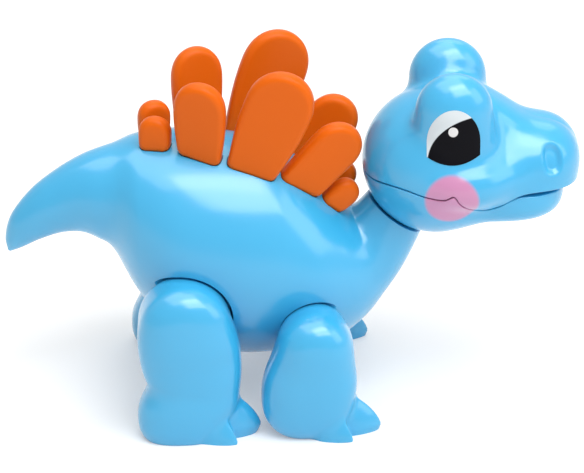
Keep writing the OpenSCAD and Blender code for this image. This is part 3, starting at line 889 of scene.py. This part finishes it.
@dataclass
class Head:
    """Skull, brows and snout above the mouth line, and the jaw below it.

    Places are from the skull's centre, sizes are half sizes, and the mouth is rows of x and z.
    """

    centre: np.ndarray
    skull: float = 21.0
    brow_at: Point = (4.0, 12.2, 20.2)
    brow_size: Point = (11.0, 7.9, 11.3)
    brow_depth: float = 40.0
    brow_flare: float = 0.12
    brow_tuck: float = 0.03
    snout_at: Point = (18.8, 0.0, -1.4)
    snout_size: Point = (21.74, 16.0, 13.4)
    nose_at: Point = (30.4, 2.2, 1.9)
    nose_size: Point = (9.0, 10.4, 9.6)
    bridge_at: Point = (14.0, 0.0, 12.5)
    bridge_size: Point = (17.0, 9.5, 7.5)
    bridge_slope: float = 33.0
    jaw_at: Point = (16.8, 0.0, -6.9)
    jaw_size: Point = (19.5, 15.8, 9.6)
    jaw_power: float = 2.9
    power: float = 2.6
    blend: float = 5.0
    bridge_blend: float = 4.0
    brow_blend: float = 2.6
    nose_blend: float = 3.0
    cheek_at: Point = (6.5, 14.6, -0.6)
    cheek_size: Point = (13.5, 8.8, 8.0)
    cheek_blend: float = 1.6
    jaw_blend: float = 3.4
    mouth_gap: float = 0.34
    lip_round: float = 0.45
    columns: int = 440
    rows: int = 180
    crowding: float = 0.5  # moves columns towards the snout
    far: float = 60.0
    lips_apart: float = 1.1
    lips_start: float = 20.0
    lips_run: float = 8.0
    lip_steps: int = 6
    lip_search: tuple[float, float] = (-1.0, 0.6)  # lowest and highest angle of the mouth line
    halvings: int = 30
    heart: Point = (8.0, 0.0, -4.0)  # where the parting's faces come together
    parting_rings: tuple[float, ...] = (0.0, 0.3, 0.6, 0.85)
    mouth: tuple[tuple[float, float], ...] = (
        (-28, -2), (-20, -1.6), (-14.6, -0.8), (-9.8, -1.1), (-4.8, -2.4), (0.4, -2.8),
        (3.4, -1.4), (5.4, -4.2), (8.6, -7), (13, -8.6), (16.8, -8), (20.9, -5.8), (24.1, -4.8),
        (29.8, -4.4), (36.3, -4.6), (46, -5))
    mouth_steps: int = 600
    nostril_aim: Point = (31.2, 13.0, 5.0)
    nostril_size: tuple[float, float] = (3.3, 5.2)
    nostril_depth: float = 1.6
    nostril_wall: float = 0.55
    nostril_power: float = 2.4
    nostril_probe: float = 0.4
    nostril_spot: np.ndarray = field(init=False)
    nostril_frame: np.ndarray = field(init=False)

    def __post_init__(self) -> None:
        """Finds where the nostrils sink into the nose, and which way they face."""
        aim = np.array(self.nostril_aim) / np.linalg.norm(self.nostril_aim)
        spot = aim * reach(self.solid, np.zeros(3), aim, self.far)
        steps = np.eye(3) * self.nostril_probe
        out = np.array([self.solid(spot + d) - self.solid(spot - d) for d in steps])
        out /= np.linalg.norm(out)
        along = np.cross([0, 0, 1.0], out)
        along /= np.linalg.norm(along)
        self.nostril_spot = spot
        self.nostril_frame = np.array([along, out, np.cross(along, out)])

    def cheeks(self, p: np.ndarray) -> np.ndarray:
        """Form of the skull with a round cheek on each side.

        Args:
            p: Points to measure, from the skull's centre.

        Returns:
            Their rough signed distances.
        """
        q = folded(p)
        ball = np.linalg.norm(q, axis=-1) - self.skull
        return join(ball, soft_box(q, self.cheek_at, self.cheek_size, 2), self.cheek_blend)

    def solid(self, p: np.ndarray) -> np.ndarray:
        """Form of the skull, brows and snout, before the nostrils.

        Args:
            p: Points to measure, from the skull's centre.

        Returns:
            Their rough signed distances.
        """
        q = folded(p)
        snout = soft_box(q, self.snout_at, self.snout_size, self.power)
        face = join(self.cheeks(p), snout, self.blend)
        face = join(face, soft_box(q, self.nose_at, self.nose_size, 2), self.nose_blend)
        ramp = turned(q, self.bridge_at, -self.bridge_slope, (0, 2))
        bridge = soft_box(ramp, (0, 0, 0), self.bridge_size, self.power)
        face = join(face, bridge, self.bridge_blend)
        d = q - np.array(self.brow_at)
        low = np.maximum(-d[..., 2], 0)
        d[..., 0] /= self.brow_size[0] + self.brow_flare * low
        d[..., 1] = (d[..., 1] + self.brow_tuck * low) / self.brow_size[1]
        d[..., 2] /= np.where(low > 0, self.brow_depth, self.brow_size[2])
        return join(face, (np.linalg.norm(d, axis=-1) - 1) * min(self.brow_size), self.brow_blend)

    def pressed(self, p: np.ndarray) -> np.ndarray:
        """Presses the nostrils into the upper half.

        Args:
            p: Points of its surface, from the skull's centre.

        Returns:
            The moved points.
        """
        side = np.where(p[..., 1:2] < 0, [1, -1, 1], [1, 1, 1])
        local = (p * side - self.nostril_spot) @ self.nostril_frame.T
        flat = np.abs(local[..., (0, 2)]) / np.array(self.nostril_size)
        edge = (flat**self.nostril_power).sum(-1) ** (1 / self.nostril_power)
        t = np.clip((1 - edge) / self.nostril_wall, 0, 1)
        close = np.abs(local[..., 1]) < self.nostril_size[1]
        depth = self.nostril_depth * t * t * (3 - 2 * t) * close
        return p - depth[..., None] * self.nostril_frame[1] * side

    def lower(self, p: np.ndarray) -> np.ndarray:
        """Form of the skull, cheeks and jaw."""
        jaw = soft_box(p, self.jaw_at, self.jaw_size, self.jaw_power)
        return join(self.cheeks(p), jaw, self.jaw_blend)

    def line(self, x: np.ndarray) -> np.ndarray:
        """Heights of the mouth line.

        Args:
            x: Places along the head.

        Returns:
            The height at each place.
        """
        pts = np.array(self.mouth)
        fine = spline(pts, np.linspace(0, len(pts) - 1, self.mouth_steps))
        return np.interp(x, fine[:, 0], fine[:, 1])

    def parting(self, x: np.ndarray) -> np.ndarray:
        """Gap under the mouth line at x: the lips stand apart in front."""
        opened = np.clip((x - self.lips_start) / self.lips_run, 0, 1)
        return self.mouth_gap + self.lips_apart * opened

    def half(self, name: str, form: Form, up: int) -> bpy.types.Object:
        """One half of the head, closed along the mouth line.

        Args:
            name: Name of the piece.
            form: The half's form about the skull's centre.
            up: 1 for the upper half, -1 for the lower.

        Returns:
            The new object.
        """
        a = np.linspace(0, 2 * np.pi, self.columns + 1)
        a -= self.crowding * np.sin(a)
        a[-1] = 0

        def point(e: np.ndarray) -> np.ndarray:
            """Points of the form at the heights e, as angles, one for each column."""
            d = np.stack([np.cos(e) * np.cos(a), np.cos(e) * np.sin(a), np.sin(e)], -1)
            return d * reach(form, np.zeros(3), d, self.far)[..., None]

        lo, hi = (np.full(len(a), bound) for bound in self.lip_search)
        for _ in range(self.halvings):
            mid = (lo + hi) / 2
            p = point(mid)
            below = p[:, 2] < self.line(p[:, 0]) - (0 if up > 0 else self.parting(p[:, 0]))
            lo, hi = np.where(below, mid, lo), np.where(below, hi, mid)
        lip = (lo + hi) / 2
        rows = []
        edge = point(lip)
        heart = np.array(self.heart)
        heart[2] -= 0 if up > 0 else self.mouth_gap
        for k in self.parting_rings:
            rows.append(heart + (edge - heart) * k)
        inward = edge - heart
        inward /= np.linalg.norm(inward, axis=1)[:, None]
        for t in np.linspace(0, np.pi / 2, self.lip_steps):
            tuck = self.lip_round * (1 - math.sin(t))
            lift = self.lip_round * (1 - math.cos(t))
            e = lip + up * lift / np.linalg.norm(edge, axis=1)
            rows.append(point(e) - inward * tuck)
        start = lip + up * self.lip_round / np.linalg.norm(edge, axis=1)
        for t in np.linspace(0, 1, self.rows)[1:]:
            rows.append(point(start + (up * np.pi / 2 - start) * t))
        points = np.array(rows)
        return sheet(name, self.centre + (self.pressed(points) if up > 0 else points))

    def build(self) -> dict[str, bpy.types.Object]:
        """Makes both halves, by the node that each stands for."""
        return {"head_upper": self.half("head_upper_shell", self.solid, 1),
                "head_lower": self.half("head_lower_shell", self.lower, -1)}


@dataclass
class Eye:
    """An arched eye insert that lies in the side of a brow."""

    head: Head
    middle: float = 3.5
    half_width: float = 7.55
    corner: float = 9.4
    arch: float = 13.3
    rise: float = 10.6
    droop: float = 2.3
    proud: float = 0.12
    depth: float = 1.2
    count: int = 48
    inside: float = 6.0  # from the midline, within the brow
    far: float = 40.0

    def build(self, side: Side) -> bpy.types.Object:
        """Makes the insert on one side, laid on the head's surface.

        Args:
            side: The side that it is on.

        Returns:
            The new object.
        """
        u = np.sin(np.linspace(-np.pi / 2, np.pi / 2, self.count))
        low = self.corner - self.droop * (1 - u**2)
        high = self.arch + self.rise * np.sqrt(np.maximum(1 - u**2, 0))
        v = np.linspace(0, 1, self.count)[:, None]
        z = low + (high - low) * v
        x = np.broadcast_to(self.middle + self.half_width * u, z.shape)
        start = np.stack([x, np.full_like(x, self.inside), z], -1)
        across = np.broadcast_to(np.array([0, 1.0, 0]), start.shape)
        y = self.inside + reach(self.head.solid, start, across, self.far)
        face = np.stack([x, y + self.proud, z], -1)
        back = np.stack([x, y - self.depth, z], -1)
        low_edge, top_edge = back[:1], back[-1:]
        rings = [np.concatenate([rear[:, :1], front, rear[:, -1:], rear[:, ::-1], rear[:, :1]], 1)
                 for front, rear in ((low_edge, low_edge), (face, back), (top_edge, top_edge))]
        points = self.head.centre + np.concatenate(rings)
        points[..., 1] *= side.value
        return sheet(f"eye_{side.word}_insert", points)


@dataclass
class Leg:
    """A leg with its stub axle, which swings on one side of the body.

    A lobe has x and z from the hip, its half sizes along x and z, how far it grows past the leg's
    thickness, the squareness of its outline and that of its pillow towards the body. A claw has x
    from the hip, y from the leg's middle, z from the floor, its half length, width and height, and
    the angle that it is turned by.
    """

    end: End
    hip: tuple[float, float]
    lobes: tuple[tuple[float, ...], ...]
    claws: tuple[tuple[float, ...], ...]
    lobe_blend: float
    inner_y: float = 21.2
    thickness: float = 16.8
    claw_power: float = 1.42
    claw_blend: float = 1.2
    axle: float = 4.0
    axle_end: float = 6.7
    axle_root: float = 3.0
    axle_sides: int = 48
    heart_share: float = 0.48  # of the hip's height, from which the skin is cast
    subdivisions: int = 7
    far: float = 50.0

    def form(self, p: np.ndarray) -> np.ndarray:
        """Form of the leg about its hip, at the leg's inner face.

        Args:
            p: Points to measure.

        Returns:
            Their rough signed distances.
        """
        mid = self.thickness / 2
        whole = None
        for x, z, half_x, half_z, grow, power, inner in self.lobes:
            part = lobe(p, (x, mid, z), (half_x, mid + grow, half_z), power, inner)
            whole = part if whole is None else join(whole, part, self.lobe_blend)
        for x, y, z, length, width, height, turn in self.claws:
            local = turned(p, (x, mid + y, z - self.hip[1]), turn, (0, 1))
            claw = soft_box(local, (0, 0, 0), (length, width, height), self.claw_power)
            whole = join(whole, claw, self.claw_blend)
        return whole

    def build(self) -> dict[Side, bpy.types.Object]:
        """Makes the leg on both sides.

        Returns:
            The legs by side.
        """
        bpy.ops.object.select_all(action="DESELECT")
        bpy.ops.mesh.primitive_ico_sphere_add(subdivisions=self.subdivisions, radius=MM)
        obj = bpy.context.object
        obj.name = obj.data.name = f"leg_{self.end.value}_left_limb"
        dirs = read_points(obj)
        dirs /= np.linalg.norm(dirs, axis=1)[:, None]
        x, z = self.hip
        heart = np.array([0, self.thickness / 2, -z * self.heart_share])
        at = np.array([x, self.inner_y, z])
        shape_points(obj, at + heart + dirs * reach(self.form, heart, dirs, self.far)[:, None])
        halve(obj, (0, self.inner_y, 0), (0, -1, 0))
        halve(obj, (0, 0, 0), (0, 0, -1))
        tidy_mesh(obj)
        axle = bar("axle", (x, self.axle_end, z), (x, self.inner_y + self.axle_root, z),
                   self.axle, self.axle_sides)
        carve(obj, [axle], "UNION")
        twin = mirror_copy(obj, f"leg_{self.end.value}_right_limb")
        return {Side.LEFT: obj, Side.RIGHT: twin}


@dataclass(frozen=True)
class Lamp:
    """A white soft box that looks at the toy, in metres and watts."""

    name: str
    place: Point
    size: tuple[float, float]
    power: float


@dataclass
class Studio:
    """Pale floor, soft boxes and the camera at the photo's angle.

    Distances are metres, the angles degrees, the scale pixels per millimetre, the sensor's width
    millimetres. The camera aims at the height aim_height, in millimetres, which the photo shows at
    aim_pixel.
    """

    azimuth: float = -3.0
    elevation: float = 26.0
    distance: float = 1.7
    scale: float = 3.5
    aim_height: float = 50.0
    aim_pixel: tuple[float, float] = (292.0, 227.7)
    sensor: float = 36.0
    floor_size: float = 8.0
    floor_colour: Colour = (0.95, 0.95, 0.95, 1)
    floor_rough: float = 0.9
    floor_specular: float = 0.1
    floor_fade: tuple[float, float] = (0.3, 0.9)  # distances over which the floor turns white
    floor_lift: float = 0.3  # share of white at the toy
    ambient: float = 0.3
    room_colour: Colour = (1, 0.96, 0.91, 1)
    lamp_aim: Point = (0, 0, 0.05)
    lamps: tuple[Lamp, ...] = (
        Lamp("key", (0.36, -0.64, 1.18), (1.02, 0.9), 12.4),
        Lamp("top", (-0.15, -0.05, 1.5), (1.8, 1.6), 18.0),
        Lamp("right", (1.2, -0.4, 0.7), (0.8, 0.9), 4.0),
        Lamp("back", (0.2, 0.9, 1.0), (1.0, 0.6), 2.5),
    )

    def build(self) -> None:
        """Makes the floor, the lights and the camera."""
        self.floor()
        self.light()
        self.camera()

    def floor(self) -> None:
        """A plain pale floor that keeps the toy's shadow."""
        bpy.ops.object.select_all(action="DESELECT")
        bpy.ops.mesh.primitive_plane_add(size=self.floor_size)
        floor = bpy.context.object
        floor.name = floor.data.name = "floor"
        mat = bpy.data.materials.new("floor_paper")
        mat.use_nodes = True
        tree = mat.node_tree
        new, link = tree.nodes.new, tree.links.new
        shader = tree.nodes["Principled BSDF"]
        shader.inputs["Base Color"].default_value = self.floor_colour
        shader.inputs["Roughness"].default_value = self.floor_rough
        shader.inputs["Specular IOR Level"].default_value = self.floor_specular
        place = new("ShaderNodeTexCoord")
        away = new("ShaderNodeVectorMath")
        away.operation = "LENGTH"
        fade = new("ShaderNodeMapRange")
        fade.interpolation_type = "SMOOTHSTEP"
        span = (*self.floor_fade, self.floor_lift, 1)
        for key, value in zip(("From Min", "From Max", "To Min", "To Max"), span):
            fade.inputs[key].default_value = value
        link(place.outputs["Object"], away.inputs[0])
        link(away.outputs["Value"], fade.inputs["Value"])
        white = new("ShaderNodeEmission")
        mix = new("ShaderNodeMixShader")
        link(self.seen(tree, fade.outputs["Result"]), mix.inputs["Fac"])
        link(shader.outputs["BSDF"], mix.inputs[1])
        link(white.outputs["Emission"], mix.inputs[2])
        link(mix.outputs["Shader"], tree.nodes["Material Output"].inputs["Surface"])
        floor.data.materials.append(mat)

    @staticmethod
    def seen(tree: bpy.types.NodeTree,
             share: bpy.types.NodeSocket | None = None) -> bpy.types.NodeSocket:
        """Mask of the rays that show the background: seen straight, in a gloss or through glass.

        Args:
            tree: The node tree of the floor or the world.
            share: How much of the mask holds at each place, or None for all of it.

        Returns:
            The socket that gives the mask.
        """
        path = tree.nodes.new("ShaderNodeLightPath")
        mask = path.outputs["Is Camera Ray"]
        for ray in ("Is Glossy Ray", "Is Transmission Ray"):
            either = tree.nodes.new("ShaderNodeMath")
            either.operation = "MAXIMUM"
            tree.links.new(mask, either.inputs[0])
            tree.links.new(path.outputs[ray], either.inputs[1])
            mask = either.outputs["Value"]
        if share is None:
            return mask
        part = tree.nodes.new("ShaderNodeMath")
        part.operation = "MULTIPLY"
        tree.links.new(mask, part.inputs[0])
        tree.links.new(share, part.inputs[1])
        return part.outputs["Value"]

    def light(self) -> None:
        """Soft boxes and a pale room."""
        for lamp in self.lamps:
            data = bpy.data.lights.new(lamp.name, "AREA")
            data.shape = "RECTANGLE"
            data.size, data.size_y = lamp.size
            data.energy = lamp.power
            obj = bpy.data.objects.new(lamp.name, data)
            bpy.context.scene.collection.objects.link(obj)
            obj.location = lamp.place
            look = Vector(self.lamp_aim) - obj.location
            obj.rotation_euler = look.to_track_quat("-Z", "Y").to_euler()
        world = bpy.data.worlds.new("room")
        world.use_nodes = True
        tree = world.node_tree
        room = tree.nodes["Background"]
        room.inputs["Color"].default_value = self.room_colour
        room.inputs["Strength"].default_value = self.ambient
        white = tree.nodes.new("ShaderNodeBackground")
        mix = tree.nodes.new("ShaderNodeMixShader")
        tree.links.new(self.seen(tree), mix.inputs["Fac"])
        tree.links.new(room.outputs["Background"], mix.inputs[1])
        tree.links.new(white.outputs["Background"], mix.inputs[2])
        tree.links.new(mix.outputs["Shader"], tree.nodes["World Output"].inputs["Surface"])
        bpy.context.scene.world = world

    def camera(self) -> None:
        """The camera at the photo's angle and scale."""
        az, el = math.radians(self.azimuth), math.radians(self.elevation)
        back = Vector((math.sin(az) * math.cos(el), -math.cos(az) * math.cos(el), math.sin(el)))
        turn = back.to_track_quat("Z", "Y")
        shift = [(self.aim_pixel[k] - IMAGE_SIZE[k] / 2) / self.scale * MM for k in (0, 1)]
        aim = Vector((0, 0, self.aim_height * MM)) + turn @ Vector((-shift[0], shift[1], 0))
        data = bpy.data.cameras.new("camera")
        data.sensor_width = self.sensor
        data.lens = self.sensor * self.distance / (IMAGE_SIZE[0] / self.scale * MM)
        cam = bpy.data.objects.new("camera", data)
        bpy.context.scene.collection.objects.link(cam)
        cam.location = aim + back * self.distance
        cam.rotation_euler = turn.to_euler()
        bpy.context.scene.camera = cam
        bpy.context.scene.view_settings.view_transform = "Standard"


SKY_BASE: Colour = (0.036, 0.385, 0.675, 1)
SKY_TONE: Colour = (0.032, 0.37, 0.66, 1)
SKY = Finish("sky_plastic", SKY_BASE, SKY_TONE, rough=(0.46, 0.52), coat=1.0, coat_rough=0.19,
             coat_ior=1.64, subsurface=0.05, specular=0.2)
BLUSH = Spot((0.55, 0.205, 0.385, 1), centre=(44.0, 20.4, 67.4), radii=(8.2, 30.0, 8.7),
             softness=0.16, strength=0.96)
HEAD_SKY = replace(SKY, name="sky_plastic_blush", spots=(BLUSH,))
ORANGE = Finish("orange_plastic", (0.69, 0.121, 0.004, 1), (0.67, 0.114, 0.004, 1),
                rough=(0.32, 0.36), specular=0.14, subsurface=0.05, bump=0.012)
PUPIL = Spot((0.004, 0.004, 0.006, 1), centre=(50.5, 20, 76.6), radii=(13.8, 60, 15.9),
             softness=0.015)
GLINT = Spot((0.68, 0.68, 0.68, 1), centre=(44.2, 20, 88.3), radii=(1.45, 60, 1.6), softness=0.1)
EYE = Finish("eye_print", (0.61, 0.66, 0.69, 1), (0.59, 0.64, 0.67, 1), rough=(0.1, 0.14),
             specular=0.06, bump=0.01, spots=(PUPIL, GLINT))
INNER = Finish("natural_plastic", (0.80, 0.78, 0.72, 1), (0.76, 0.74, 0.68, 1), rough=(0.35, 0.45))
RUBBER = Finish("black_rubber", (0.02, 0.02, 0.022, 1), (0.03, 0.03, 0.032, 1), rough=(0.6, 0.75),
                specular=0.3)
INNER_NODES = ("axle_cap", "friction_ring", "neck_")  # how the hidden pieces' names start


class Stegosaurus:
    """The whole toy, as its sub-assemblies."""

    def __init__(self) -> None:
        """Sets out the sub-assemblies at their sizes."""
        self.plates = [
            Plate(1, x=-39.0, spread=6.0, base=9.0, width=9.4, length=8.9,
                  lean=1, splay=2, yaw=16, swell=0.42),
            Plate(2, x=-26.4, spread=9.2, base=12.4, width=15.0, length=23.8,
                  lean=2, splay=9, yaw=16, swell=0.6),
            Plate(3, x=-11.8, spread=11.2, base=14.6, width=19.4, length=32.2,
                  lean=21.5, splay=4, yaw=8, swell=0.62),
            Plate(4, x=1.9, spread=9.8, base=13.4, width=14.6, length=22.6,
                  lean=41.5, splay=8, yaw=-12, swell=0.6),
            Plate(5, x=11.0, spread=8.8, base=7.8, width=8.4, length=8.9,
                  lean=50, splay=5, yaw=-12, swell=0.45),
        ]
        rear = Leg(
            End.REAR, hip=(-31.8, 33.7), lobe_blend=3.0,
            lobes=((0, 0, 13.1, 13.1, 0.57, 2, 8), (1.5, -8.7, 14.3, 11.6, 0.17, 2.3, 2.5),
                   (2.9, -19.2, 12.5, 12, 0, 2.3, 2.5), (-1.4, -27.4, 12.2, 9.8, 0.2, 2.4, 2.5)),
            claws=((13, 0, 3, 8.4, 4.4, 9.2, 0), (7.3, 3.4, 0.6, 8.2, 4, 9, 30),
                   (7.3, -3.4, 0.6, 8.2, 4, 9, -30)))
        front = Leg(
            End.FRONT, hip=(5.2, 27.9), lobe_blend=4.0,
            lobes=((0, 0, 9.2, 9.2, 0.57, 2, 8), (-0.6, -6.4, 11.3, 13.4, 0.17, 2.2, 2.5),
                   (-2.3, -16.3, 13.2, 13.2, 0.17, 2.3, 2.5)),
            claws=((9.2, 0, 1.8, 9.4, 4.4, 9.4, 0), (3.1, 3.4, 0.6, 8.2, 4, 9, 30),
                   (3.1, -3.4, 0.6, 8.2, 4, 9, -30)))
        self.legs = [rear, front]
        self.body = Body(Spine(), hips=tuple((*leg.hip, leg.lobes[0][2]) for leg in self.legs))
        self.head = Head(self.body.skull())

    def build(self) -> None:
        """Makes every piece, and dresses it."""
        moulded, spot = Groups.moulded(), Groups.spot()
        sky, head_sky, orange, eye, inner, rubber = (
            f.build(moulded, spot) for f in (SKY, HEAD_SKY, ORANGE, EYE, INNER, RUBBER))
        whole = self.body.whole()
        skin = Body.tree(whole)
        for side, shell in self.body.build(whole, skin, self.plates).items():
            install(shell, f"body_{side.word}", "body", sky)
        for plate in self.plates:
            for side in Side:
                leaf = plate.build(self.body.spine, skin, side)
                install(leaf, f"plate_{side.word}_{plate.number}", "body", orange)
        for node, piece in self.head.build().items():
            install(piece, node, "head", head_sky)
        for side in Side:
            install(Eye(self.head).build(side), f"eye_{side.word}", "head", eye)
        for leg in self.legs:
            for side, limb in leg.build().items():
                place = f"leg_{leg.end.value}_{side.word}"
                install(limb, place, place, sky)
        self.dress_inner(inner, rubber)

    @staticmethod
    def dress_inner(inner: bpy.types.Material, rubber: bpy.types.Material) -> None:
        """Gives the hidden CAD pieces their plastic and rubber.

        Args:
            inner: The plastic of caps and post.
            rubber: The rubber of the rings.
        """
        for name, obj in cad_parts.items():
            if name.startswith(INNER_NODES):
                material = rubber if "ring" in name else inner
                obj.data.materials.clear()
                obj.data.materials.append(material)
                LOG.info("%s keeps its CAD shape, in %s", name, material.name)


def main() -> None:
    """Builds the toy and its studio."""
    logging.basicConfig(level=logging.INFO)
    Stegosaurus().build()
    Studio().build()


if __name__ == "__main__":
    main()
